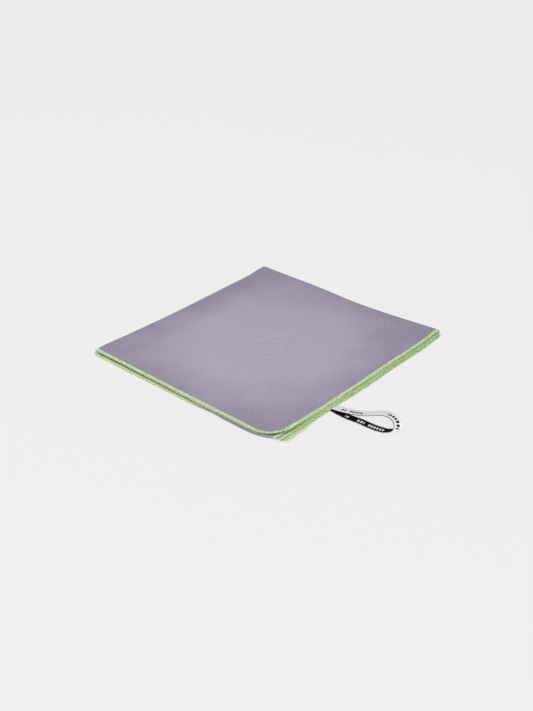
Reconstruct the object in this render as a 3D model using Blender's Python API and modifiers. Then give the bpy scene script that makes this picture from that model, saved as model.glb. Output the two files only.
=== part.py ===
"""Quick dry towel, folded flat, with a woven hanging loop sewn to one edge.

The towel is one rectangle of thin microfibre suede. It is folded in four across its
length, which makes four strips, and then in half, which makes eight layers:

    layer 7   strip 1  upper half    (top)
    layer 6   strip 4  upper half
    layer 5   strip 3  upper half
    layer 4   strip 2  upper half
    layer 3   strip 2  lower half
    layer 2   strip 3  lower half
    layer 1   strip 4  lower half
    layer 0   strip 1  lower half    (bottom)

+X runs from the last fold to the eight open edges, +Y from the two open strip ends to
the folds between strips 1 and 2 and between strips 3 and 4, and +Z is up. The origin is
on the underside, in the middle of the folded towel. The upper half opens about the last
fold like the cover of a book, and the loop swings up about its seam.
Units are metres.
"""

import math

import bmesh
import bpy
from mathutils import Vector

# ---------------------------------------------------------------- driving dimensions
FOLDED_X = 0.396            # last fold to open edges
FOLDED_Y = 0.427            # open strip ends to folds
CLOTH_T = 0.0014            # one layer with its nap, uncompressed
GAP = 0.0003                # air kept between solids that touch
LAYERS_PER_HALF = 4
CORNER_R = 0.038            # rounded corners of the towel
OVERLOCK_W = 0.005          # width of the overlocked edge
ARC_STEP = math.radians(9)  # facet angle of round corners
MERGE_DISTANCE = 1e-6       # points closer than this are one point

RIBBON_W = 0.015
RIBBON_T = 0.0006
SEAM_Y = -0.081             # middle of the loop's seam along the open edges
TAB_REACH = 0.006           # sewn ribbon ends, from the edge to the hinge line
ROOT_LENGTH = 0.015         # flat overlapped ribbon ends beyond the hinge line
ROOT_WIDTH = 0.016          # the two ribbon ends, one on the other and a little apart
STRAND_LEAN = math.radians(60)  # the ribbon's slope up and outwards from its lower edge
# Centre line of the loop from the root, out along the near strand, round the tip and back.
LOOP_POINTS = [
    (0.2194, -0.0880),
    (0.2360, -0.0930),
    (0.2540, -0.0910),
    (0.2735, -0.0900),
    (0.2915, -0.0880),
    (0.3025, -0.0840),
    (0.3070, -0.0750),
    (0.3055, -0.0650),
    (0.2995, -0.0545),
    (0.2885, -0.0450),
    (0.2735, -0.0415),
    (0.2620, -0.0485),
    (0.2500, -0.0620),
    (0.2360, -0.0715),
    (0.2194, -0.0769),
]
NEAR_STRAND_SHARE = 0.40    # share of the loop's length in the near strand
TIP_SHARE = 0.22            # and in the bend at its tip
RIBBON_STEP = 0.003         # spacing of the sections along the ribbon
CURVE_STEPS = 40            # straight steps that stand for the curve between two loop points

# ---------------------------------------------------------------- worked-out dimensions
PITCH = CLOTH_T + GAP
LAYERS = 2 * LAYERS_PER_HALF
STACK_T = LAYERS * PITCH - GAP
MID_Z = STACK_T / 2
OPEN_X = FOLDED_X / 2                   # outer edge of the eight open edges
LAST_FOLD_X = -FOLDED_X / 2             # outermost line of the last fold
SPINE_X = LAST_FOLD_X + STACK_T / 2     # centre line of the last fold's nested bends
OPEN_Y = -FOLDED_Y / 2                  # outer edge of the open strip ends
FOLD_Y = FOLDED_Y / 2                   # outermost line of the folds opposite
HALF_STACK_T = LAYERS_PER_HALF * PITCH - GAP
WIDE_BEND_R = HALF_STACK_T / 2          # outer radius of the fold between strips 1 and 2
TIGHT_BEND_R = CLOTH_T + GAP / 2        # outer radius of the folds of two adjacent layers
BOOK_HINGE_X = LAST_FOLD_X - GAP / 2
LOOP_HINGE_X = OPEN_X + TAB_REACH
LOOP_HINGE_Z = CLOTH_T                  # the ribbon folds up along the top of its seam
INNER_X = OPEN_X - OVERLOCK_W - GAP     # edge of the cloth inside the overlock
INNER_Y = OPEN_Y + OVERLOCK_W + GAP

# Layer number of each strip in the two halves, strips 1 to 4.
LAYER_OF = {
    "lower": (0, 3, 2, 1),
    "upper": (7, 4, 5, 6),
}


def layer_z(layer):
    """Height of the underside of a layer."""
    return layer * PITCH


# ---------------------------------------------------------------- scene helpers
def clear_scene():
    for old in list(bpy.data.objects):
        bpy.data.objects.remove(old, do_unlink=True)


def make_material(name, color, roughness):
    material = bpy.data.materials.new(name)
    material.use_nodes = True
    shader = material.node_tree.nodes["Principled BSDF"]
    shader.inputs["Base Color"].default_value = (*color, 1.0)
    shader.inputs["Roughness"].default_value = roughness
    shader.inputs["Metallic"].default_value = 0.0
    material.diffuse_color = (*color, 1.0)
    return material


def link(name, data, collection, material, parent=None):
    thing = bpy.data.objects.new(name, data)
    collection.objects.link(thing)
    if data is not None:
        data.materials.append(material)
    if parent is not None:
        thing.parent = parent
        thing.matrix_parent_inverse = parent.matrix_world.inverted()
    return thing


def hinge_empty(name, location, collection):
    """An empty on a joint's axis, which the moving pieces are parented to."""
    empty = bpy.data.objects.new(name, None)
    empty.location = location
    empty.empty_display_size = 0.02
    collection.objects.link(empty)
    bpy.context.view_layer.update()
    return empty


def extruded(name, outline, depth, collection, material, parent, location, rotation=(0, 0, 0)):
    """A closed outline in the local XY plane, given a depth centred on that plane."""
    curve = bpy.data.curves.new(name, "CURVE")
    curve.dimensions = "2D"
    curve.fill_mode = "BOTH"
    curve.extrude = depth / 2
    spline = curve.splines.new("POLY")
    spline.points.add(len(outline) - 1)
    for point, (x, y) in zip(spline.points, outline):
        point.co = (x, y, 0, 1)
    spline.use_cyclic_u = True
    solid = link(name, curve, collection, material, parent)
    solid.location = location
    solid.rotation_euler = rotation
    return solid


# ---------------------------------------------------------------- outlines
def arc(center, radius, start, end):
    """Points on a circle from one angle to another, both ends included."""
    steps = max(1, round(abs(end - start) / ARC_STEP))
    angles = [start + (end - start) * i / steps for i in range(steps + 1)]
    return [(center[0] + radius * math.cos(a), center[1] + radius * math.sin(a)) for a in angles]


def rectangle(x_low, x_high, y_low, y_high):
    return [(x_low, y_low), (x_high, y_low), (x_high, y_high), (x_low, y_high)]


def bend_outline(outer, inner, side):
    """Half a ring about the origin, open towards side (+1 or -1) along local X."""
    top = math.pi / 2
    outer_arc = [(-side * x, y) for x, y in arc((0, 0), outer, -top, top)]
    inner_arc = [(-side * x, y) for x, y in arc((0, 0), inner, top, -top)]
    return outer_arc + inner_arc


def spine_outline(outer, inner, up):
    """A quarter ring on the -X side, kept half a gap clear of the parting plane."""
    lift = GAP / 2
    points = arc((0, 0), outer, math.asin(lift / outer), math.pi / 2)
    inner_starts_above_lift = inner - lift > MERGE_DISTANCE
    if inner_starts_above_lift:
        points += arc((0, 0), inner, math.pi / 2, math.asin(lift / inner))
    else:
        points.append((0, lift))
    return [(-x, up * y) for x, y in points]


# ---------------------------------------------------------------- cloth
def cloth_panel(half, strip, collection, material, parent):
    """One strip of one half: flat cloth between its folds and its overlocked edges."""
    layer = LAYER_OF[half][strip - 1]
    x_low = SPINE_X + GAP
    y_high = FOLD_Y - WIDE_BEND_R - GAP
    if strip in (1, 4):
        corner = (OPEN_X - CORNER_R, OPEN_Y + CORNER_R)
        radius = CORNER_R - OVERLOCK_W - GAP
        outline = [(x_low, y_high), (x_low, INNER_Y)]
        outline += arc(corner, radius, -math.pi / 2, 0)
        outline.append((INNER_X, y_high))
    else:
        outline = rectangle(x_low, INNER_X, OPEN_Y + TIGHT_BEND_R + GAP, y_high)
    location = (0, 0, layer_z(layer) + CLOTH_T / 2)
    name = f"strip{strip}_{half}_panel"
    return extruded(name, outline, CLOTH_T, collection, material, parent, location)


def cross_fold(half, first, second, collection, material, parent):
    """The bend that joins two strips of a half, running along X."""
    layers = (LAYER_OF[half][first - 1], LAYER_OF[half][second - 1])
    spread = abs(layers[0] - layers[1])
    center_z = (layer_z(layers[0]) + layer_z(layers[1]) + CLOTH_T) / 2
    outer = (spread * PITCH + CLOTH_T) / 2
    inner = outer - CLOTH_T
    at_open_side = (first, second) == (2, 3)
    side = 1 if at_open_side else -1
    center_y = OPEN_Y + TIGHT_BEND_R if at_open_side else FOLD_Y - WIDE_BEND_R
    outline = bend_outline(outer, inner, side)
    x_low = SPINE_X + GAP
    length = INNER_X - x_low
    location = (x_low + length / 2, center_y, center_z)
    rotation = (math.pi / 2, 0, math.pi / 2)
    name = f"fold{first}{second}_{half}"
    return extruded(name, outline, length, collection, material, parent, location, rotation)


def spine(half, strip, collection, material, parent):
    """A strip's share of the last fold, from its layer to the parting plane."""
    layer = LAYER_OF[half][strip - 1]
    up = 1 if half == "upper" else -1
    reach = abs(layer_z(layer) + CLOTH_T / 2 - MID_Z)
    outline = spine_outline(reach + CLOTH_T / 2, reach - CLOTH_T / 2, up)
    y_low = OPEN_Y if strip in (1, 4) else OPEN_Y + TIGHT_BEND_R
    y_high = FOLD_Y - WIDE_BEND_R
    location = (SPINE_X, (y_low + y_high) / 2, MID_Z)
    rotation = (math.pi / 2, 0, 0)
    name = f"strip{strip}_{half}_spine"
    return extruded(name, outline, y_high - y_low, collection, material, parent, location, rotation)


# ---------------------------------------------------------------- overlocked edge
def overlock(half, strip, collection, material, parent):
    """The stitched edge of one strip: its open side, and on strips 1 and 4 its end too."""
    layer = LAYER_OF[half][strip - 1]
    location = (0, 0, layer_z(layer) + CLOTH_T / 2)
    y_high = FOLD_Y - WIDE_BEND_R - GAP
    rounded = strip in (1, 4)
    y_low = OPEN_Y + CORNER_R + GAP if rounded else OPEN_Y + TIGHT_BEND_R + GAP
    pieces = {"side": rectangle(OPEN_X - OVERLOCK_W, OPEN_X, y_low, y_high)}
    if rounded:
        corner = (OPEN_X - CORNER_R, OPEN_Y + CORNER_R)
        outer = arc(corner, CORNER_R, -math.pi / 2, 0)
        inner = arc(corner, CORNER_R - OVERLOCK_W, 0, -math.pi / 2)
        pieces["corner"] = outer + inner
        x_high = OPEN_X - CORNER_R - GAP
        pieces["end"] = rectangle(SPINE_X + GAP, x_high, OPEN_Y, OPEN_Y + OVERLOCK_W)
    for place, outline in pieces.items():
        name = f"overlock{strip}_{half}_{place}"
        extruded(name, outline, CLOTH_T, collection, material, parent, location)


# ---------------------------------------------------------------- hanging loop
def smooth_path(points):
    """A Catmull-Rom curve through the points, and the distance along it at each step."""
    knots = [Vector(p) for p in points]
    knots = [2 * knots[0] - knots[1]] + knots + [2 * knots[-1] - knots[-2]]
    dense = []
    for i in range(1, len(knots) - 2):
        a, b, c, d = knots[i - 1:i + 3]
        for j in range(CURVE_STEPS):
            t = j / CURVE_STEPS
            dense.append(0.5 * (2 * b + (c - a) * t + (2 * a - 5 * b + 4 * c - d) * t ** 2
                                + (3 * b - 3 * c + d - a) * t ** 3))
    dense.append(knots[-2])
    lengths = [0.0]
    for p, q in zip(dense, dense[1:]):
        lengths.append(lengths[-1] + (q - p).length)
    return dense, lengths


def point_at(dense, lengths, distance):
    """The point at a distance along the path."""
    for i in range(1, len(lengths)):
        if lengths[i] >= distance:
            t = (distance - lengths[i - 1]) / (lengths[i] - lengths[i - 1])
            return dense[i - 1].lerp(dense[i], t)
    return dense[-1].copy()


def strand(name, start, end, path, collection, material, parent):
    """The ribbon between two distances along the loop, standing on its lower edge."""
    dense, lengths = path
    total = lengths[-1]
    count = max(2, round((end - start) / RIBBON_STEP))
    half = RIBBON_W / 2
    height = half * math.sin(STRAND_LEAN) + RIBBON_T / 2 * math.cos(STRAND_LEAN)
    mesh = bmesh.new()
    rows = []
    for i in range(count + 1):
        distance = start + (end - start) * i / count
        ahead = point_at(dense, lengths, min(total, distance + RIBBON_T))
        behind = point_at(dense, lengths, max(0.0, distance - RIBBON_T))
        tangent = (ahead - behind).normalized()
        outward = Vector((tangent.y, -tangent.x, 0)) * math.cos(STRAND_LEAN)
        across = outward + Vector((0, 0, math.sin(STRAND_LEAN)))
        middle = point_at(dense, lengths, distance)
        center = Vector((middle.x, middle.y, height))
        rows.append([mesh.verts.new(center + across * side) for side in (-half, half)])
    for (a, b), (c, d) in zip(rows, rows[1:]):
        mesh.faces.new((a, c, d, b))
    bmesh.ops.recalc_face_normals(mesh, faces=mesh.faces)
    data = bpy.data.meshes.new(name)
    mesh.to_mesh(data)
    mesh.free()
    ribbon = link(name, data, collection, material, parent)
    shell = ribbon.modifiers.new("Thickness", "SOLIDIFY")
    shell.thickness = RIBBON_T
    shell.offset = 0
    shell.use_even_offset = True
    return ribbon


def hanging_loop(collection, ribbon_material, hinge):
    """The ribbon loop: sewn tab, flat root, near strand, tip bend and far strand."""
    tab = rectangle(OPEN_X + GAP, LOOP_HINGE_X - GAP / 2,
                    SEAM_Y - ROOT_WIDTH / 2, SEAM_Y + ROOT_WIDTH / 2)
    tab_at = (0, 0, CLOTH_T / 2)
    extruded("loop_sewn_tab", tab, CLOTH_T, collection, ribbon_material, None, tab_at)
    root = rectangle(LOOP_HINGE_X + GAP / 2, LOOP_HINGE_X + ROOT_LENGTH,
                     SEAM_Y - ROOT_WIDTH / 2, SEAM_Y + ROOT_WIDTH / 2)
    extruded("loop_root", root, CLOTH_T, collection, ribbon_material, hinge, tab_at)
    path = smooth_path(LOOP_POINTS)
    total = path[1][-1]
    near_end = total * NEAR_STRAND_SHARE
    tip_end = near_end + total * TIP_SHARE
    spans = {
        "loop_near_strand": (0.0, near_end - GAP / 2),
        "loop_tip": (near_end + GAP / 2, tip_end - GAP / 2),
        "loop_far_strand": (tip_end + GAP / 2, total),
    }
    for name, (start, end) in spans.items():
        strand(name, start, end, path, collection, ribbon_material, hinge)


# ---------------------------------------------------------------- assembly
def main():
    clear_scene()
    towel = bpy.data.collections.new("quick_dry_towel")
    bpy.context.scene.collection.children.link(towel)

    cloth = make_material("lilac_grey_microfibre", (0.315, 0.290, 0.365), 0.9)
    thread = make_material("lime_overlock_thread", (0.56, 0.72, 0.34), 0.75)
    ribbon = make_material("woven_ribbon", (0.02, 0.02, 0.022), 0.6)

    book_hinge = hinge_empty("book_hinge_axis", (BOOK_HINGE_X, 0, MID_Z), towel)
    loop_hinge = hinge_empty("loop_hinge_axis", (LOOP_HINGE_X, SEAM_Y, LOOP_HINGE_Z), towel)

    for half, parent in (("lower", None), ("upper", book_hinge)):
        for strip in (1, 2, 3, 4):
            cloth_panel(half, strip, towel, cloth, parent)
            spine(half, strip, towel, cloth, parent)
            overlock(half, strip, towel, thread, parent)
        for first, second in ((1, 2), (2, 3), (3, 4)):
            cross_fold(half, first, second, towel, cloth, parent)

    hanging_loop(towel, ribbon, loop_hinge)


main()
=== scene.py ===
"""Quick dry towel, folded flat in eight layers, with a woven hanging loop.

The CAD frame gives the sizes, the bodies and the two hinges. Here the towel is made as what
it is: one thin cloth, folded in four and then in half, with an overlocked edge all round it
and one ribbon sewn into that edge. Metres, +Z up.
"""
import math

import bpy
import numpy as np
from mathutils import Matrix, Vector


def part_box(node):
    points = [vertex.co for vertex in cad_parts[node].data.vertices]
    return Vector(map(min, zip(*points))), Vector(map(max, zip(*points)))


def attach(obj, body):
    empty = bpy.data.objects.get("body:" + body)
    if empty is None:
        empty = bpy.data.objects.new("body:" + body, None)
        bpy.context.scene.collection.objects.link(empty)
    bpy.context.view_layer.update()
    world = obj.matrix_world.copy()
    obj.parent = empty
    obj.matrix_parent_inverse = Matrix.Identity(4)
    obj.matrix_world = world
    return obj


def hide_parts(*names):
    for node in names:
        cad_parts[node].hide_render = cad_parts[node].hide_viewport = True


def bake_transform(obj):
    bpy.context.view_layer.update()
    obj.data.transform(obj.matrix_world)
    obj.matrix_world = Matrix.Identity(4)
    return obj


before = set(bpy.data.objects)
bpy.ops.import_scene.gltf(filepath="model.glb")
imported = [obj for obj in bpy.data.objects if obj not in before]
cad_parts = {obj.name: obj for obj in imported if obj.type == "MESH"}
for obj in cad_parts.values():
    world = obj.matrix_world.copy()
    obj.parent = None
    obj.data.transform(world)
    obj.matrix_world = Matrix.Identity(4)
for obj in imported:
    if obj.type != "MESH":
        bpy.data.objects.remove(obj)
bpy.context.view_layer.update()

# ------------------------------------------------------------------ sizes from the frame
BOTTOM_LOW, BOTTOM_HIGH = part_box("strip1_lower_panel")
NEXT_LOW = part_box("strip4_lower_panel")[0]
SIDE_LOW, SIDE_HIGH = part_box("overlock1_upper_side")
END_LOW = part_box("overlock1_upper_end")[0]
SPINE_LOW, SPINE_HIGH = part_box("strip1_upper_spine")
WIDE_LOW, WIDE_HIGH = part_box("fold12_upper")
TIGHT_LOW, TIGHT_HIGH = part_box("fold23_upper")
ROOT_LOW, ROOT_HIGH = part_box("loop_root")

PITCH = NEXT_LOW[2] - BOTTOM_LOW[2]            # from one layer to the next
LAYER_Z = (BOTTOM_LOW[2] + BOTTOM_HIGH[2]) / 2  # middle of the bottom layer
OPEN_X = SIDE_HIGH[0]                          # the eight open edges
OPEN_Y = END_LOW[1]                            # the open ends of strips 1 and 4
FOLD_Y = WIDE_HIGH[1]                          # the folds opposite the open ends
SPINE_X = SPINE_HIGH[0]                        # centre line of the last fold
CORNER_R = SIDE_LOW[1] - OPEN_Y                # rounded corners of the towel
BAND_W = SIDE_HIGH[0] - SIDE_LOW[0]            # width of the overlocked edge
SEAM_Y = (ROOT_LOW[1] + ROOT_HIGH[1]) / 2      # middle of the hanging loop's seam

CLOTH_T = 0.00044          # the cloth as it lies, nap pressed down
PRESSED_PITCH = 0.00128    # from layer to layer, where the stack is pressed
EDGE_INSET = 0.0012        # the cloth stops this far inside its overlock
HALVES = ("lower", "upper")


def hex_color(text):
    """An sRGB hex colour as the linear values that a shader takes."""
    channels = [int(text[i:i + 2], 16) / 255 for i in (0, 2, 4)]
    linear = [c / 12.92 if c <= 0.04045 else ((c + 0.055) / 1.055) ** 2.4 for c in channels]
    return (*linear, 1.0)


# ------------------------------------------------------------------ the folded shape
WIDE_BEND = 1.5      # bend radius from strip 1 to strip 2, in layer pitches
TIGHT_BEND = 0.5     # and from 2 to 3 and from 3 to 4
FAR_Y = FOLD_Y - (WIDE_HIGH[2] - WIDE_LOW[2]) / 2
NEAR_Y = OPEN_Y + (TIGHT_HIGH[2] - TIGHT_LOW[2]) / 2
END_RUN = FAR_Y - OPEN_Y
MID_RUN = FAR_Y - NEAR_Y
WIDE_ARC = math.pi * WIDE_BEND * PITCH
TIGHT_ARC = math.pi * TIGHT_BEND * PITCH
HALF_RUN = OPEN_X - SPINE_X
SPINE_ARC = 0.010    # cloth in the last fold, between the inmost layer's and the outmost's

# Where each piece of the zigzag ends, as a distance along the towel from strip 1's end.
RUNS = (END_RUN, WIDE_ARC, MID_RUN, TIGHT_ARC, MID_RUN, TIGHT_ARC, END_RUN)
STARTS = np.concatenate([[0.0], np.cumsum(RUNS)])
FLAT_L = STARTS[-1]
FLAT_W = 2 * HALF_RUN + SPINE_ARC


def zigzag(v):
    """Height above the parting plane, in pitches, and Y, for a distance along the towel."""
    v = np.asarray(v, float)
    share = [np.clip((v - a) / (b - a), 0, 1) for a, b in zip(STARTS, STARTS[1:])]
    level = np.full(v.shape, 3.5)
    y = OPEN_Y + (FAR_Y - OPEN_Y) * share[0]
    in_wide = (v > STARTS[1]) & (v <= STARTS[2])
    turn = share[1] * math.pi
    level = np.where(in_wide, 2.0 + WIDE_BEND * np.cos(turn), level)
    y = np.where(in_wide, FAR_Y + WIDE_BEND * PITCH * np.sin(turn), y)
    in_two = (v > STARTS[2]) & (v <= STARTS[3])
    level = np.where(in_two, 0.5, level)
    y = np.where(in_two, FAR_Y + (NEAR_Y - FAR_Y) * share[2], y)
    in_near = (v > STARTS[3]) & (v <= STARTS[4])
    turn = share[3] * math.pi
    level = np.where(in_near, 1.0 - TIGHT_BEND * np.cos(turn), level)
    y = np.where(in_near, NEAR_Y - TIGHT_BEND * PITCH * np.sin(turn), y)
    in_three = (v > STARTS[4]) & (v <= STARTS[5])
    level = np.where(in_three, 1.5, level)
    y = np.where(in_three, NEAR_Y + (FAR_Y - NEAR_Y) * share[4], y)
    in_far = (v > STARTS[5]) & (v <= STARTS[6])
    turn = share[5] * math.pi
    level = np.where(in_far, 2.0 - TIGHT_BEND * np.cos(turn), level)
    y = np.where(in_far, FAR_Y + TIGHT_BEND * PITCH * np.sin(turn), y)
    in_four = v > STARTS[6]
    level = np.where(in_four, 2.5, level)
    y = np.where(in_four, FAR_Y + (OPEN_Y - FAR_Y) * share[6], y)
    return level, y


def book(u):
    """Side of the last fold (+1 upper, -1 lower), reach into its bend and X."""
    u = np.asarray(u, float)
    turn = np.clip((u - HALF_RUN) / SPINE_ARC, 0, 1) * math.pi
    x = OPEN_X - np.clip(u, None, HALF_RUN) + np.clip(u - HALF_RUN - SPINE_ARC, 0, None)
    return np.cos(turn), np.sin(turn), x


def smooth(x, low, high):
    """0 below low and 1 above high, with a soft step between."""
    t = np.clip((x - low) / (high - low), 0, 1)
    return t * t * (3 - 2 * t)


def bump(x, center, width):
    """1 at the centre, fading to nothing at about twice the width from it."""
    return np.exp(-((x - center) / width) ** 2)


def by_layer(k, values):
    """A value for each layer, 0 at the bottom to 7 at the top, joined between them."""
    return np.interp(k, np.arange(8), values)


def ripple(x, y, seed, wavelength):
    """A slow, even waviness: five sines of fixed random direction and phase."""
    rng = np.random.default_rng(seed)
    total = np.zeros(np.broadcast(x, y).shape)
    for _ in range(5):
        angle = rng.uniform(0, math.tau)
        phase = rng.uniform(0, math.tau)
        length = wavelength * rng.uniform(0.75, 1.5)
        along = x * math.cos(angle) + y * math.sin(angle)
        total = total + np.sin(along * math.tau / length + phase)
    return total / 5


# How each of the eight layers lies, from the bottom one up, in metres.
SIDE_FAN = (0.0, 0.0005, 0.0100, 0.0054, 0.0028, -0.0047, -0.0022, -0.0018)   # open sides, front corner
SIDE_SLIP = (0.0034, 0.0036, 0.0034, 0.0030, 0.0024, 0.0016, 0.0005, 0.0)     # open sides, elsewhere
END_LEFT = (-0.0027, -0.0020, 0.0030, 0.0032, 0.0030, 0.0022, 0.0005, 0.0)    # open ends, inwards
END_MIDDLE = (-0.0012, -0.0008, 0.0012, 0.0014, 0.0012, 0.0008, 0.0, 0.0)
END_RIGHT = (0.0064, 0.0060, -0.0016, -0.0020, -0.0018, -0.0010, 0.0, 0.0)
CORNER_IN = (0.0090, 0.0090, 0.0190, 0.0152, 0.0096, 0.0088, 0.0020, 0.0018)  # more at the corner
PART_SIDE = (0.0, -0.00030, 0.00064, 0.00034, 0.00130, 0.00100, 0.00240, 0.00215)   # upwards
PART_END = (0.0, 0.00018, 0.00064, 0.00066, 0.00038, 0.00020, 0.00017, 0.00124)
LIFT_RIGHT = (0.0, 0.0, 0.0, 0.0, 0.0001, 0.0002, 0.0012, 0.0013)
LIFT_FRONT = (0.0, 0.0, 0.0, 0.0, 0.0, 0.0001, 0.0024, 0.0014)
LOOSE = (0.0, 0.02, 0.05, 0.08, 0.14, 0.25, 0.5, 1.0)     # share of the top layer's unevenness

# How far in from an edge its looseness reaches.
END_SOFT = 0.045
SIDE_SOFT = 0.050
FOLD_SOFT = 0.050

# Puckers beside the open end: place along X, lean against Y, half width, height.
PUCKERS = (
    (-0.105, 0.9, 0.0060, 0.0018), (-0.086, 0.7, 0.0050, -0.0012), (-0.070, 0.8, 0.0055, 0.0020),
    (-0.048, 0.6, 0.0060, -0.0012), (-0.028, 0.5, 0.0065, 0.0018), (-0.004, 0.3, 0.0070, 0.0012),
    (0.022, 0.2, 0.0080, -0.0010),
)


def settle(x, y, layers):
    """How the folded stack really lies: an ideal place in the stack to a real one.

    layers is the signed height above the parting plane, in pitches, so the order of the
    layers is kept whatever the cloth does sideways.
    """
    k = layers + 3.5
    at_end = np.exp(-np.clip(y - OPEN_Y, 0, None) / END_SOFT)       # open ends, 1 at the edge
    at_side = np.exp(-np.clip(OPEN_X - x, 0, None) / SIDE_SOFT)     # open sides
    at_left = smooth(-x, 0.10, 0.195)
    near_loop = bump(y, SEAM_Y, 0.028)
    fan = smooth(-y, 0.085, 0.205)                                  # along the sides, to the corner
    at_right = smooth(y, 0.09, 0.20)

    # The open sides: the two inner pairs of layers fan out at the front corner.
    reach = by_layer(k, SIDE_FAN) * fan + by_layer(k, SIDE_SLIP) * (1 - fan)
    dx = at_side * (reach - 0.0012 * near_loop)
    dx = dx + at_side * (0.0008 * ripple(y, 0.4 * k, 11, 0.10) - 0.0025 * smooth(y, 0.15, 0.21))

    # The open ends: the lowest pair stands out by the last fold and draws in towards the
    # corner, where the inner folds stand out over it.
    to_middle = smooth(x, -0.16, -0.03)
    to_right = smooth(x, 0.02, 0.11)
    tuck = smooth(x, 0.13, OPEN_X + 0.004) ** 2
    out = (by_layer(k, END_LEFT) * (1 - to_middle)
           + by_layer(k, END_MIDDLE) * to_middle * (1 - to_right)
           + by_layer(k, END_RIGHT) * to_right)
    dy = at_end * (out + by_layer(k, CORNER_IN) * tuck)
    dy = dy + at_end * 0.0005 * ripple(x, 0.3 * k, 23, 0.12)

    # Far edge and last fold: softly uneven, each layer much like the next.
    at_far = np.exp(-np.clip(FAR_Y - y, 0, None) / FOLD_SOFT)
    dy = dy + at_far * (0.0060 * smooth(x, 0.09, 0.19) - 0.0040 * bump(x, 0.03, 0.07)
                        + 0.0010 * bump(x, -0.09, 0.03))
    at_spine = np.exp(-np.clip(x - SPINE_X, 0, None) / FOLD_SOFT)
    dx = dx + at_spine * (0.0035 * bump(y, -0.03, 0.10) - 0.0055 * smooth(y, 0.15, 0.21)
                          - 0.0025 * smooth(-y, 0.14, 0.20))

    # Height: pressed cloth lies close, and its layers part in pairs towards every edge.
    pinch_loop = 1 - 0.14 * near_loop * at_side
    pinch_left = 1 - 0.12 * at_left * at_end
    z = LAYER_Z + k * PRESSED_PITCH * pinch_loop * pinch_left
    part_side = by_layer(k, PART_SIDE)
    at_folds = np.maximum(at_far, at_spine)
    z = z + part_side * at_side * (1 - 0.6 * near_loop) + by_layer(k, PART_END) * at_end * (1 - at_side)
    z = z + 0.8 * part_side * at_folds * (1 - at_side) * (1 - at_end)
    z = z + by_layer(k, LIFT_RIGHT) * at_right * at_side
    z = z + by_layer(k, LIFT_FRONT) * smooth(x, 0.13, 0.19) * bump(y, -0.175, 0.035)
    wave = 0.0006 * ripple(x, y, 5, 0.16) + 0.0002 * ripple(x, y, 7, 0.06)
    z = z + by_layer(k, LOOSE) * (wave + creases(x, y) * (1 - at_end * 0.6))
    return x + dx, y + dy, z


def creases(x, y):
    """Soft puckers that run in from the open end, left of its middle, and fade out."""
    height = 0.0
    fade = smooth(y, OPEN_Y, OPEN_Y + 0.012) * (1 - smooth(y, OPEN_Y + 0.03, OPEN_Y + 0.075))
    for middle, lean, width, depth in PUCKERS:
        height = height + depth * fade * bump(x + lean * (y - OPEN_Y), middle, width)
    return height


# A plain droplet pressed into one panel, in the flat towel's own u and v.
DROP_AT = (0.185, 0.205)
DROP_R = 0.026              # radius of its round end
DROP_TIP = 0.052            # from the round end's middle to the tip
DROP_LINE = 0.0026          # half width of the pressed line
DROP_DEPTH = 0.0015
DROP_EDGE = 0.004           # run of the slope from the line to the inside


def droplet(u, v):
    """Depth of the pressed droplet: a line round it, and its inside pressed a little less."""
    along = v - DROP_AT[1]
    across = np.abs(u - DROP_AT[0])
    taper = np.clip(along / DROP_TIP, 0, 1)
    roundness = np.sqrt(np.clip(1 - (np.minimum(along, 0) / DROP_R) ** 2, 0, 1))
    half_width = DROP_R * roundness * (1 - taper) ** 0.8
    inside = (along > -DROP_R) & (along < DROP_TIP)
    off_round = np.hypot(across, np.minimum(along, 0)) - DROP_R
    off_side = (across - half_width) * 0.9
    distance = np.where(inside & (along > 0), off_side, off_round)
    distance = np.where(along > DROP_TIP, np.hypot(across, along - DROP_TIP), distance)
    line = np.exp(-(distance / DROP_LINE) ** 2)
    return DROP_DEPTH * (line + 0.35 * smooth(-distance, 0, DROP_EDGE))


def place(u, v):
    """A point of the flat towel, carried to where it lies in the folded stack."""
    level, y = zigzag(v)
    side, bend, x = book(u)
    x, y, z = settle(x - bend * level * PITCH, y, side * level)
    return np.stack([x, y, z - side * droplet(u, v)], axis=-1)


def normals(u, v):
    """The cloth's normal at points of the flat towel."""
    step = 0.0002
    du = place(np.clip(u + step, 0, FLAT_W), v) - place(np.clip(u - step, 0, FLAT_W), v)
    dv = place(u, np.clip(v + step, 0, FLAT_L)) - place(u, np.clip(v - step, 0, FLAT_L))
    n = np.cross(du, dv)
    return n / np.linalg.norm(n, axis=-1, keepdims=True)


def rounded(u, v, inset=0.0):
    """Rounds the corners of the flat towel, or of a rectangle set in from its edge."""
    radius = CORNER_R - inset
    for u_edge, u_in in ((inset, 1), (FLAT_W - inset, -1)):
        for v_edge, v_in in ((inset, 1), (FLAT_L - inset, -1)):
            a = 1 - u_in * (u - u_edge) / radius
            b = 1 - v_in * (v - v_edge) / radius
            hit = (a > 0) & (b > 0)
            a2 = np.where(hit, a, 0)
            b2 = np.where(hit, b, 0)
            a3 = a2 * np.sqrt(1 - b2 ** 2 / 2)
            b3 = b2 * np.sqrt(1 - a2 ** 2 / 2)
            u = np.where(hit, u_edge + u_in * radius * (1 - a3), u)
            v = np.where(hit, v_edge + v_in * radius * (1 - b3), v)
    return u, v


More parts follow.
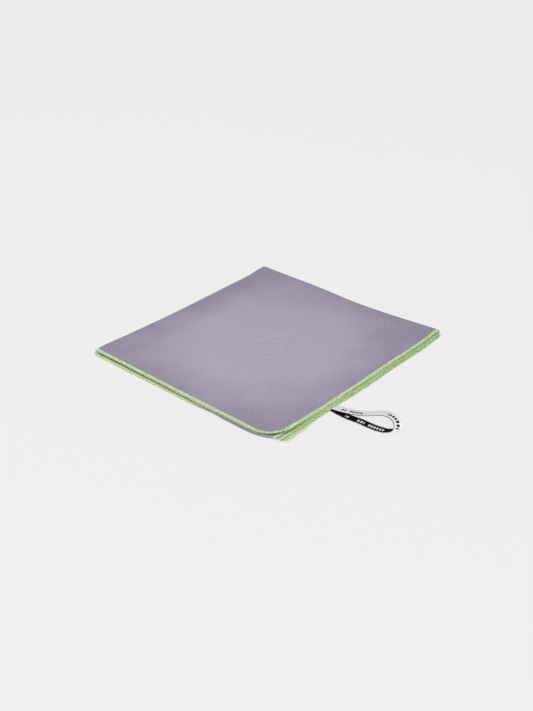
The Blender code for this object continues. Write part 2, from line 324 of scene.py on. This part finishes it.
# ------------------------------------------------------------------ mesh helpers
def new_mesh(name, points, faces, uvs=None):
    """A smooth-shaded piece, with a UV for each point where it has them."""
    data = bpy.data.meshes.new(name)
    data.from_pydata([tuple(p) for p in points], [], faces)
    if uvs is not None:
        layer = data.uv_layers.new(name="UVMap")
        index = np.empty(len(data.loops), dtype=np.int32)
        data.loops.foreach_get("vertex_index", index)
        layer.data.foreach_set("uv", np.asarray(uvs, np.float32)[index].ravel())
    data.validate()
    data.update()
    piece = bpy.data.objects.new(name, data)
    bpy.context.scene.collection.objects.link(piece)
    data.shade_smooth()
    return piece


def grid_faces(rows, columns, close_rows=False, close_columns=False):
    """Quads between the points of a grid, joined round at its ends where asked."""
    faces = []
    for i in range(rows if close_rows else rows - 1):
        for j in range(columns if close_columns else columns - 1):
            i2, j2 = (i + 1) % rows, (j + 1) % columns
            faces.append((i * columns + j, i * columns + j2, i2 * columns + j2, i2 * columns + j))
    return faces


def bake_modifiers(piece):
    """Turns the evaluated piece into a plain mesh."""
    graph = bpy.context.evaluated_depsgraph_get()
    data = bpy.data.meshes.new_from_object(piece.evaluated_get(graph))
    piece.modifiers.clear()
    piece.data = data
    return piece


def set_material(piece, *materials):
    """Gives a piece its materials, in slot order."""
    piece.data.materials.clear()
    for material in materials:
        piece.data.materials.append(material)


def spread(low, high, step):
    """Even stations between two ends, no further apart than step."""
    count = max(1, math.ceil((high - low) / step - 1e-9))
    return list(np.linspace(low, high, count + 1))


# ------------------------------------------------------------------ materials
class Nodes:
    """A material's node tree, with one way to add a node."""

    def __init__(self, name):
        self.material = bpy.data.materials.new(name)
        self.material.use_nodes = True
        self.tree = self.material.node_tree
        self.shader = self.tree.nodes["Principled BSDF"]

    def add(self, kind, settings=None, **links):
        """A node, its properties and input values, and links by input name or in0, in1."""
        node = self.tree.nodes.new(kind)
        for key, value in (settings or {}).items():
            if isinstance(key, str) and hasattr(node, key):
                setattr(node, key, value)
            else:
                node.inputs[key].default_value = value
        for key, source in links.items():
            self.link(source, node.inputs[int(key[2:])] if key.startswith("in") else node.inputs[key])
        return node

    def link(self, source, target):
        """Joins an output to an input."""
        self.tree.links.new(source, target)


def microfibre():
    """Warp-knitted microfibre suede: a fine brushed nap, which takes a soft edge sheen."""
    m = Nodes("lilac_grey_microfibre_suede")
    uv = m.add("ShaderNodeUVMap").outputs["UV"]
    axes = m.add("ShaderNodeSeparateXYZ", in0=uv)
    # Painted light: the cloth is drawn lighter in mid panel, a painted highlight, and darker beside the
    # folds and hems, painted shade.
    across = m.add("ShaderNodeMath", {"operation": "PINGPONG", 1: HALF_RUN / 2}, in0=axes.outputs["X"])
    along = m.add("ShaderNodeMath", {"operation": "PINGPONG", 1: END_RUN / 2}, in0=axes.outputs["Y"])
    painted_panel_light = m.add("ShaderNodeMath", {"operation": "MULTIPLY"}, in0=across.outputs[0],
                 in1=along.outputs[0])
    painted_panel_light = m.add("ShaderNodeMath", {"operation": "MULTIPLY", 1: 4 / (HALF_RUN * END_RUN)},
                 in0=painted_panel_light.outputs[0])
    # It also lies unevenly: faint light and dark areas a few centimetres across.
    cloud = m.add("ShaderNodeTexNoise", {"Scale": 11.0, "Detail": 3.0, "Roughness": 0.5}, Vector=uv)
    # Fibre mottle, drawn at 2 mm, coarser than the real 0.3 mm so that it shows.
    nap = m.add("ShaderNodeTexNoise", {"Scale": 480.0, "Detail": 2.0, "Roughness": 0.6}, Vector=uv)
    cloud_and_painted_light = m.add("ShaderNodeMath", {"operation": "MULTIPLY_ADD", 1: 0.45}, in0=cloud.outputs["Fac"],
                   in2=painted_panel_light.outputs[0])
    both = m.add("ShaderNodeMath", {"operation": "MULTIPLY_ADD", 1: 0.95}, in0=nap.outputs["Fac"],
                 in2=cloud_and_painted_light.outputs[0])
    # The ramp's dark end carries the painted shade beside the folds and hems, and its light end the
    # painted highlight in mid panel.
    ramp = m.add("ShaderNodeValToRGB", in0=both.outputs[0])
    ramp.color_ramp.elements[0].position = 0.45
    ramp.color_ramp.elements[0].color = hex_color("756d7f")
    ramp.color_ramp.elements[1].position = 1.0
    ramp.color_ramp.elements[1].color = hex_color("a6a0b1")
    m.link(ramp.outputs["Color"], m.shader.inputs["Base Color"])
    m.shader.inputs["Roughness"].default_value = 0.92
    m.shader.inputs["Specular IOR Level"].default_value = 0.25
    m.shader.inputs["Sheen Weight"].default_value = 0.25
    m.shader.inputs["Sheen Roughness"].default_value = 0.45
    m.shader.inputs["Sheen Tint"].default_value = hex_color("d8d2e4")
    relief = m.add("ShaderNodeBump", {"Strength": 0.30, "Distance": 0.0003}, Height=nap.outputs["Fac"])
    m.link(relief.outputs["Normal"], m.shader.inputs["Normal"])
    return m.material


def overlock_thread(name, light, dark):
    """Textured polyester thread: soft and matt, its colour uneven every 2 mm or so."""
    m = Nodes(name)
    place_at = m.add("ShaderNodeTexCoord").outputs["Object"]
    tint = m.add("ShaderNodeTexNoise", {"Scale": 420.0, "Detail": 2.0}, Vector=place_at)
    ramp = m.add("ShaderNodeValToRGB", in0=tint.outputs["Fac"])
    ramp.color_ramp.elements[0].position = 0.30
    ramp.color_ramp.elements[0].color = hex_color(dark)
    ramp.color_ramp.elements[1].position = 0.70
    ramp.color_ramp.elements[1].color = hex_color(light)
    m.link(ramp.outputs["Color"], m.shader.inputs["Base Color"])
    m.shader.inputs["Roughness"].default_value = 0.75
    m.shader.inputs["Sheen Weight"].default_value = 0.2
    relief = m.add("ShaderNodeBump", {"Strength": 0.4, "Distance": 0.0002}, Height=tint.outputs["Fac"])
    m.link(relief.outputs["Normal"], m.shader.inputs["Normal"])
    return m.material


BLOCK_PITCH = 0.0048        # the ribbon's plain woven blocks, along it
BLOCK_LENGTH = 0.0032
BLOCK_HALF = 0.17           # half their height and the selvedge, in ribbon widths
SELVEDGE = 0.07
RIB_PITCH = 0.0005          # weft ribs, near the real 0.3 mm


def woven_ribbon(name, ground, mark, groups):
    """Woven polyester tape: fine cross ribs, and plain blocks in groups along it.

    groups gives each group's middle and half length, as distances along the ribbon. The
    front selvedge is woven in the blocks' colour.
    """
    m = Nodes(name)
    uv = m.add("ShaderNodeUVMap").outputs["UV"]
    axes = m.add("ShaderNodeSeparateXYZ", in0=uv)
    along, across = axes.outputs["X"], axes.outputs["Y"]

    def math_node(operation, first, second=None, third=None):
        node = m.add("ShaderNodeMath", {"operation": operation}, in0=first)
        for i, value in ((1, second), (2, third)):
            if isinstance(value, (int, float)):
                node.inputs[i].default_value = value
            elif value is not None:
                m.link(value, node.inputs[i])
        return node.outputs[0]

    is_block = math_node("LESS_THAN", math_node("MODULO", along, BLOCK_PITCH), BLOCK_LENGTH)
    group = 0.0
    for middle, half in groups:
        group = math_node("MAXIMUM", math_node("COMPARE", along, middle, half), group)
    row = math_node("COMPARE", across, 0.5, BLOCK_HALF)
    marked = math_node("MULTIPLY", math_node("MULTIPLY", is_block, group), row)
    marked = math_node("MAXIMUM", marked, math_node("LESS_THAN", across, SELVEDGE))
    paint = m.add("ShaderNodeMix", {"data_type": "RGBA"}, in0=marked)
    paint.inputs[6].default_value = hex_color(ground)
    paint.inputs[7].default_value = hex_color(mark)
    m.link(paint.outputs[2], m.shader.inputs["Base Color"])
    m.shader.inputs["Roughness"].default_value = 0.6
    m.shader.inputs["Specular IOR Level"].default_value = 0.08
    ribs = math_node("SINE", math_node("MULTIPLY", along, math.tau / RIB_PITCH))
    relief = m.add("ShaderNodeBump", {"Strength": 0.3, "Distance": 0.00008}, Height=ribs)
    m.link(relief.outputs["Normal"], m.shader.inputs["Normal"])
    return m.material


def turn_at_fold(piece, upper_share):
    """Bakes a piece's place into its mesh; it is not blended or parted across the last fold."""
    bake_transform(piece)


def joined(*spans):
    """Stations of several spans that follow each other, each given as low, high, step."""
    stations = spread(*spans[0])
    for span in spans[1:]:
        stations += spread(*span)[1:]
    return stations


def cloth_stations():
    """Rows along the towel and columns across it: close where it bends, wide where hidden."""
    fine, round_corner, medium, wide = 0.0020, 0.0035, 0.0050, 0.0150
    fold_edge = 0.02
    margin = 0.006
    drop_low, drop_high = DROP_AT[1] - DROP_R - 0.008, DROP_AT[1] + DROP_TIP + 0.008
    rows = joined((0, CORNER_R, 0.0030), (CORNER_R, drop_low, medium), (drop_low, drop_high, fine),
                  (drop_high, STARTS[1], medium))
    for i, (a, b) in enumerate(zip(STARTS[1:], STARTS[2:])):
        is_bend = i % 2 == 0
        is_last = i == len(STARTS) - 3
        if is_last:
            rows += joined((a, b - CORNER_R, wide), (b - CORNER_R, b, round_corner))[1:]
        elif is_bend:
            rows += spread(a, b, (b - a) / 8)[1:]
        else:
            rows += joined((a, a + fold_edge, medium), (a + fold_edge, b - fold_edge, wide),
                           (b - fold_edge, b, medium))[1:]
    left, right = DROP_AT[0] - DROP_R - margin, DROP_AT[0] + DROP_R + margin
    past_fold = HALF_RUN + SPINE_ARC
    columns = joined((0, CORNER_R, round_corner), (CORNER_R, left, medium), (left, right, fine),
                     (right, HALF_RUN, medium), (HALF_RUN, past_fold, SPINE_ARC / 12),
                     (past_fold, FLAT_W - CORNER_R, 0.0110), (FLAT_W - CORNER_R, FLAT_W, 0.0040))
    return np.array(rows), np.array(columns)


def make_cloth(material):
    """The whole cloth, folded: one sheet with an even thickness."""
    rows, columns = cloth_stations()
    v, u = np.meshgrid(rows, columns, indexing="ij")
    u = np.clip(u, EDGE_INSET, FLAT_W - EDGE_INSET)
    v = np.clip(v, EDGE_INSET, FLAT_L - EDGE_INSET)
    u2, v2 = rounded(u, v, EDGE_INSET)
    points = place(u2, v2).reshape(-1, 3)
    uvs = np.stack([u2, v2], axis=-1).reshape(-1, 2)
    cloth = new_mesh("towel_cloth", points, grid_faces(len(rows), len(columns)), uvs)
    share = cloth.data.attributes.new("upper_share", "FLOAT", "POINT")
    share.data.foreach_set("value", (u2.ravel() < FLAT_W / 2).astype(np.float32))
    set_material(cloth, material)
    thick = cloth.modifiers.new("Thickness", "SOLIDIFY")
    thick.thickness = CLOTH_T
    thick.offset = 0
    bake_modifiers(cloth)
    cloth.data.shade_smooth()
    return cloth


def upper_share_of(piece):
    """1 for the points of the cloth's upper half, and 0 for the lower."""
    values = np.empty(len(piece.data.vertices), np.float32)
    piece.data.attributes["upper_share"].data.foreach_get("value", values)
    return (values > 0.5).astype(float)


# ------------------------------------------------------------------ the overlocked edge
BAND_HALF = 0.00032         # half its thickness
BAND_LIP = 0.00027          # and along its two borders
LIP_INSET = 0.0006
STITCH_PITCH = 0.0021
THREAD_R = 0.00021
# Section of the band: inset from the cloth's edge, and height off the cloth's middle.
BAND_SECTION = [
    (BAND_W, BAND_LIP), (BAND_W * 0.85, BAND_HALF), (BAND_W * 0.35, BAND_HALF), (LIP_INSET, BAND_LIP),
    (0.0, 0.0), (LIP_INSET, -BAND_LIP), (BAND_W * 0.35, -BAND_HALF), (BAND_W * 0.85, -BAND_HALF),
    (BAND_W, -BAND_LIP),
]


def edge_walk(inset, step=0.0032):
    """Flat-towel points round its edge, as four sides joined by quarter circles."""
    r = CORNER_R - inset
    corner_steps = 14

    def side(length):
        """How many steps a length takes."""
        return max(2, round(length / step))

    def straight(a, b, count):
        """Even stations from a up to, but without, b."""
        return [a + (b - a) * i / count for i in range(count)]

    def fold_aware(low, high):
        """Stations along the towel's length, close together in the bends."""
        marks = [low, *STARTS[1:-1], high]
        stations = []
        for i, (a, b) in enumerate(zip(marks, marks[1:])):
            stations += straight(a, b, 10 if i % 2 else side(b - a))
        return stations

    def across(low, high):
        """Stations across the towel, close together in the last fold."""
        past_fold = HALF_RUN + SPINE_ARC
        return (straight(low, HALF_RUN, side(HALF_RUN - low)) + straight(HALF_RUN, past_fold, 14)
                + straight(past_fold, high, side(high - past_fold)))

    lengths = fold_aware(CORNER_R, FLAT_L - CORNER_R)
    widths = across(CORNER_R, FLAT_W - CORNER_R)
    walk = [(inset, v) for v in lengths]
    walk += corner(CORNER_R, FLAT_L - CORNER_R, r, math.pi, math.pi / 2, corner_steps)
    walk += [(u, FLAT_L - inset) for u in widths]
    walk += corner(FLAT_W - CORNER_R, FLAT_L - CORNER_R, r, math.pi / 2, 0, corner_steps)
    walk += [(FLAT_W - inset, v) for v in reversed_stations(lengths, FLAT_L - CORNER_R)]
    walk += corner(FLAT_W - CORNER_R, CORNER_R, r, 0, -math.pi / 2, corner_steps)
    walk += [(u, inset) for u in reversed_stations(widths, FLAT_W - CORNER_R)]
    walk += corner(CORNER_R, CORNER_R, r, -math.pi / 2, -math.pi, corner_steps)
    return np.array(walk)


def reversed_stations(stations, high):
    """The same stations walked the other way, from the far end's first point."""
    return [high] + stations[:0:-1]


def corner(cu, cv, radius, start, end, steps):
    """A quarter circle of the flat towel, without its last point."""
    angles = [start + (end - start) * i / steps for i in range(steps)]
    return [(cu + radius * math.cos(a), cv + radius * math.sin(a)) for a in angles]


def make_band(material):
    """The overlock's flat band round the whole cloth, and which of its points ride above."""
    rings = []
    for inset, height in BAND_SECTION:
        walk = edge_walk(inset)
        u, v = walk[:, 0], walk[:, 1]
        rings.append(place(u, v) + normals(u, v) * height)
    points = np.stack(rings, axis=1)
    count, sides = points.shape[:2]
    band = new_mesh("overlock_band", points.reshape(-1, 3), grid_faces(count, sides, True, True))
    edge = edge_walk(0.0)
    upper = np.repeat((edge[:, 0] < FLAT_W / 2).astype(float), sides)
    set_material(band, material)
    return band, upper


def make_seats(side):
    """Where the stitches sit: points on the edge with the edge's frame, for one half."""
    step, inset = 0.0005, 0.001
    walk = edge_walk(0.0, step)
    inner = edge_walk(inset, step)
    count = min(len(walk), len(inner))
    walk, inner = walk[:count], inner[:count]
    points = place(walk[:, 0], walk[:, 1])
    inward = place(inner[:, 0], inner[:, 1]) - points
    up = normals(walk[:, 0], walk[:, 1])
    travel = np.concatenate([[0.0], np.cumsum(np.linalg.norm(np.diff(points, axis=0), axis=1))])
    stations = np.arange(0, travel[-1], STITCH_PITCH)
    pick = np.searchsorted(travel, stations).clip(0, count - 1)
    upper = walk[pick, 0] < FLAT_W / 2
    pick = pick[upper if side == "upper" else ~upper]
    seats = bpy.data.meshes.new("stitch_seats_" + side)
    seats.from_pydata([tuple(p) for p in points[pick]], [], [])
    for name, values in (("inward", inward[pick]), ("up", up[pick])):
        attribute = seats.attributes.new(name, "FLOAT_VECTOR", "POINT")
        unit = values / np.linalg.norm(values, axis=1, keepdims=True)
        attribute.data.foreach_set("vector", unit.astype(np.float32).ravel())
    piece = bpy.data.objects.new("overlock_stitches_" + side, seats)
    bpy.context.scene.collection.objects.link(piece)
    return piece


def stitch_shape():
    """One overlock stitch: a thread that wraps the edge, slanting back under it."""
    lean = STITCH_PITCH * 0.5
    top = BAND_HALF
    upper = [
        (BAND_W + 0.0004, -lean, top - 0.0002), (BAND_W * 0.8, -lean * 0.8, top),
        (BAND_W * 0.4, -lean * 0.4, top), (0.0006, -lean * 0.1, top - 0.0001),
    ]
    path = upper + [(-0.00015, 0, 0)] + [(x, -y, -z) for x, y, z in reversed(upper)]
    curve = bpy.data.curves.new("stitch_path", "CURVE")
    curve.dimensions = "3D"
    spline = curve.splines.new("POLY")
    spline.points.add(len(path) - 1)
    for point, co in zip(spline.points, path):
        point.co = (*co, 1)
    shape = bpy.data.objects.new("stitch_path", curve)
    bpy.context.scene.collection.objects.link(shape)
    return shape


def stitch_tree(shape, material):
    """Geometry nodes: a stitch on every seat, turned into the edge's own frame."""
    tree = bpy.data.node_groups.new("overlock_stitches", "GeometryNodeTree")
    tree.interface.new_socket("Seats", in_out="INPUT", socket_type="NodeSocketGeometry")
    tree.interface.new_socket("Thread Radius", in_out="INPUT", socket_type="NodeSocketFloat")
    tree.interface.new_socket("Stitches", in_out="OUTPUT", socket_type="NodeSocketGeometry")
    add = tree.nodes.new
    link = tree.links.new
    group_in, group_out = add("NodeGroupInput"), add("NodeGroupOutput")
    info = add("GeometryNodeObjectInfo")
    info.inputs["Object"].default_value = shape
    profile = add("GeometryNodeCurvePrimitiveCircle")
    profile.inputs["Resolution"].default_value = 4
    link(group_in.outputs["Thread Radius"], profile.inputs["Radius"])
    tube = add("GeometryNodeCurveToMesh")
    tube.inputs["Fill Caps"].default_value = True
    link(info.outputs["Geometry"], tube.inputs["Curve"])
    link(profile.outputs["Curve"], tube.inputs["Profile Curve"])
    axes = []
    for name in ("inward", "up"):
        read = add("GeometryNodeInputNamedAttribute")
        read.data_type = "FLOAT_VECTOR"
        read.inputs["Name"].default_value = name
        axes.append(read.outputs["Attribute"])
    turn = add("FunctionNodeAxesToRotation")
    turn.primary_axis = "X"
    turn.secondary_axis = "Z"
    link(axes[0], turn.inputs["Primary Axis"])
    link(axes[1], turn.inputs["Secondary Axis"])
    put = add("GeometryNodeInstanceOnPoints")
    link(group_in.outputs["Seats"], put.inputs["Points"])
    link(tube.outputs["Mesh"], put.inputs["Instance"])
    link(turn.outputs["Rotation"], put.inputs["Rotation"])
    realize = add("GeometryNodeRealizeInstances")
    link(put.outputs["Instances"], realize.inputs["Geometry"])
    shade = add("GeometryNodeSetMaterial")
    shade.inputs["Material"].default_value = material
    link(realize.outputs["Geometry"], shade.inputs["Geometry"])
    link(shade.outputs["Geometry"], group_out.inputs["Stitches"])
    return tree


def make_stitches(material):
    """The stitches round the edge, as one plain mesh for each half."""
    shape = stitch_shape()
    tree = stitch_tree(shape, material)
    pieces = []
    for side in HALVES:
        piece = make_seats(side)
        modifier = piece.modifiers.new("Stitches", "NODES")
        modifier.node_group = tree
        radius = next(s for s in tree.interface.items_tree if s.name == "Thread Radius")
        modifier[radius.identifier] = THREAD_R
        bake_modifiers(piece)
        piece.data.shade_smooth()
        pieces.append(piece)
    bpy.data.objects.remove(shape, do_unlink=True)
    return pieces


# ------------------------------------------------------------------ the hanging loop
RIBBON_W = 0.015
RIBBON_T = 0.00045
RIBBON_SECTIONS = 190
# The ribbon's front edge, from its sewn end out along the strand that lies below, up round
# the tip and back above: X, Y and height. The ribbon's width runs back from it along Y.
RIBBON_ROUTE = [
    (OPEN_X - 0.0030, SEAM_Y - 0.0075, 0.0012), (0.2040, SEAM_Y - 0.0076, 0.0009),
    (0.2117, -0.0890, 0.0005), (0.2214, -0.0893, 0.0004), (0.2334, -0.0892, 0.0003),
    (0.2513, -0.0868, 0.0003), (0.2658, -0.0867, 0.0003), (0.2802, -0.0854, 0.0003),
    (0.2933, -0.0831, 0.0011), (0.2999, -0.0805, 0.0027), (0.3050, -0.0784, 0.0053),
    (0.3080, -0.0773, 0.0098), (0.3074, -0.0745, 0.0138), (0.3018, -0.0689, 0.0168),
    (0.2907, -0.0648, 0.0172), (0.2794, -0.0651, 0.0159), (0.2676, -0.0717, 0.0139),
    (0.2541, -0.0780, 0.0108), (0.2352, -0.0820, 0.0071), (0.2171, -0.0834, 0.0040),
    (0.2040, SEAM_Y - 0.0035, 0.0026), (OPEN_X - 0.0030, SEAM_Y - 0.0035, 0.0024),
]
RIBBON_STATIONS = (-1.0, -0.93, -0.5, 0.0, 0.5, 0.93, 1.0)     # across it, in half widths


def catmull(points, per_span):
    """A smooth curve through points, each span in equal steps."""
    p = np.array(points, float)
    p = np.vstack([2 * p[0] - p[1], p, 2 * p[-1] - p[-2]])
    out = []
    for i in range(1, len(p) - 2):
        a, b, c, d = p[i - 1:i + 3]
        for j in range(per_span):
            t = j / per_span
            out.append(0.5 * (2 * b + (c - a) * t + (2 * a - 5 * b + 4 * c - d) * t * t
                              + (3 * b - 3 * c + d - a) * t ** 3))
    out.append(p[-2])
    return np.array(out)


def ribbon_frame(count):
    """Even sections along the ribbon: distance, middle, direction across and face normal."""
    dense = catmull(RIBBON_ROUTE, 30)
    travel = np.concatenate([[0], np.cumsum(np.linalg.norm(np.diff(dense, axis=0), axis=1))])
    s = np.linspace(0, travel[-1], count + 1)
    edge = np.stack([np.interp(s, travel, dense[:, i]) for i in range(3)], axis=1)
    tangent = np.gradient(edge, axis=0)
    tangent /= np.linalg.norm(tangent, axis=1, keepdims=True)
    across = np.array([0.0, 1.0, 0.0]) - tangent * tangent[:, 1:2]
    across /= np.linalg.norm(across, axis=1, keepdims=True)
    return s, edge + across * RIBBON_W / 2, across, np.cross(tangent, across)


def make_ribbon(inner, outer):
    """One ribbon with rounded selvedges, the loop's inner and outer faces in their own colours."""
    count = RIBBON_SECTIONS
    s, center, across, normal = ribbon_frame(count)
    rows = []
    for side in (1, -1):
        for t in RIBBON_STATIONS[::side]:
            fullness = 0.6 if abs(t) == 1 else 1.0
            rows.append(center + across * RIBBON_W / 2 * t + normal * side * fullness * RIBBON_T / 2)
    points = np.stack(rows, axis=1)
    sides = points.shape[1]
    shares = [(t + 1) / 2 for t in RIBBON_STATIONS]
    uvs = np.stack(np.meshgrid(s, shares + shares[::-1], indexing="ij"), axis=-1).reshape(-1, 2)
    faces = grid_faces(count + 1, sides, False, True)
    faces.append(tuple(range(sides - 1, -1, -1)))
    faces.append(tuple(count * sides + j for j in range(sides)))
    ribbon = new_mesh("hanging_ribbon", points.reshape(-1, 3), faces, uvs)
    set_material(ribbon, inner, outer)
    outer_starts = len(RIBBON_STATIONS) - 1
    for i, face in enumerate(ribbon.data.polygons[:count * sides]):
        face.material_index = 0 if i % sides < outer_starts else 1
    return ribbon


# ------------------------------------------------------------------ assembly
suede = microfibre()
# One lime-green thread in two copies: the band's is darker, painted shade in the gaps between the
# layers, and the stitches' is near white, a painted highlight.
band_thread_painted_shade = overlock_thread("overlock_base_thread", "c6dfa0", "7a9c58")
stitch_thread = overlock_thread("overlock_stitch_thread", "fcfef6", "e4f4c8")
ribbon_black = woven_ribbon("black_woven_ribbon", "0a0a0c", "d4d4d8",
                            ((0.034, 0.003), (0.058, 0.006), (0.086, 0.015)))
ribbon_white = woven_ribbon("white_woven_ribbon", "dcdadd", "1a1a20",
                            ((0.134, 0.016), (0.198, 0.0125), (0.2205, 0.004)))

cloth = make_cloth(suede)
band, band_upper = make_band(band_thread_painted_shade)
stitches_lower, stitches_upper = make_stitches(stitch_thread)
ribbon = make_ribbon(ribbon_black, ribbon_white)

turn_at_fold(cloth, upper_share_of(cloth))
turn_at_fold(band, band_upper)
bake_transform(ribbon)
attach(stitches_lower, "lower_half")
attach(stitches_upper, "upper_half")

cloth_nodes = [f"strip{i}_{half}_{part}"
               for half in HALVES for i in (1, 2, 3, 4) for part in ("panel", "spine")]
cloth_nodes += [f"fold{i}{i + 1}_{half}" for half in HALVES for i in (1, 2, 3)]
band_nodes = [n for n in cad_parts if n.startswith("overlock")]
loop_nodes = ["loop_sewn_tab", "loop_root", "loop_near_strand", "loop_tip", "loop_far_strand"]
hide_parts(*cloth_nodes)
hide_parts(*band_nodes)
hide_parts(*loop_nodes)


# ------------------------------------------------------------------ studio
FLOOR_SIZE = 14
FLOOR_Z = -0.0002           # just under the towel, so that the two never share a plane
FLOOR_GLOW = 0.80
SKY_GLOW = 0.42
CAMERA_AT = (0.9510, -1.0767, 0.8239)
CAMERA_HEADING = math.atan2(0.6643, 0.7475)
CAMERA_TILT = 30.386        # degrees down from level
SENSOR_HEIGHT = 24.0        # mm, and the lens too
LENS = 33.113926


def make_stage():
    """A pale floor that glows evenly, so that only a trace of the towel's shadow shows."""
    bpy.ops.mesh.primitive_plane_add(size=FLOOR_SIZE, location=(0, 0, FLOOR_Z))
    floor = bpy.context.object
    floor.name = "studio_floor"
    m = Nodes("pale_studio_floor")
    m.shader.inputs["Base Color"].default_value = (0.05, 0.05, 0.05, 1)
    m.shader.inputs["Roughness"].default_value = 1.0
    m.shader.inputs["Specular IOR Level"].default_value = 0.0
    m.shader.inputs["Emission Color"].default_value = (1, 1, 1, 1)
    m.shader.inputs["Emission Strength"].default_value = FLOOR_GLOW
    set_material(floor, m.material)


def make_light(name, location, size, power):
    """A square softbox that faces the middle of the towel."""
    data = bpy.data.lights.new(name, "AREA")
    data.size = size
    data.energy = power
    lamp = bpy.data.objects.new(name, data)
    lamp.location = location
    lamp.rotation_euler = (-lamp.location).to_track_quat("-Z", "Y").to_euler()
    bpy.context.scene.collection.objects.link(lamp)


def make_world():
    """An even white surround, which fills the shadows."""
    world = bpy.data.worlds.new("studio_world")
    world.use_nodes = True
    background = world.node_tree.nodes["Background"]
    background.inputs["Color"].default_value = (1, 1, 1, 1)
    background.inputs["Strength"].default_value = SKY_GLOW
    bpy.context.scene.world = world


def make_camera():
    """The camera looks down on the corner between the open ends and the open sides."""
    data = bpy.data.cameras.new("camera")
    data.sensor_fit = "VERTICAL"
    data.sensor_height = SENSOR_HEIGHT
    data.lens = LENS
    camera = bpy.data.objects.new("camera", data)
    bpy.context.scene.collection.objects.link(camera)
    camera.location = CAMERA_AT
    camera.rotation_euler = (math.radians(90 - CAMERA_TILT), 0, CAMERA_HEADING)
    bpy.context.scene.camera = camera


make_stage()
make_light("key_softbox", (-0.7, -1.5, 2.3), 1.1, 40)
make_light("side_softbox", (2.3, -1.1, 1.0), 1.2, 42)
make_world()
bpy.context.scene.view_settings.view_transform = "Standard"
make_camera()
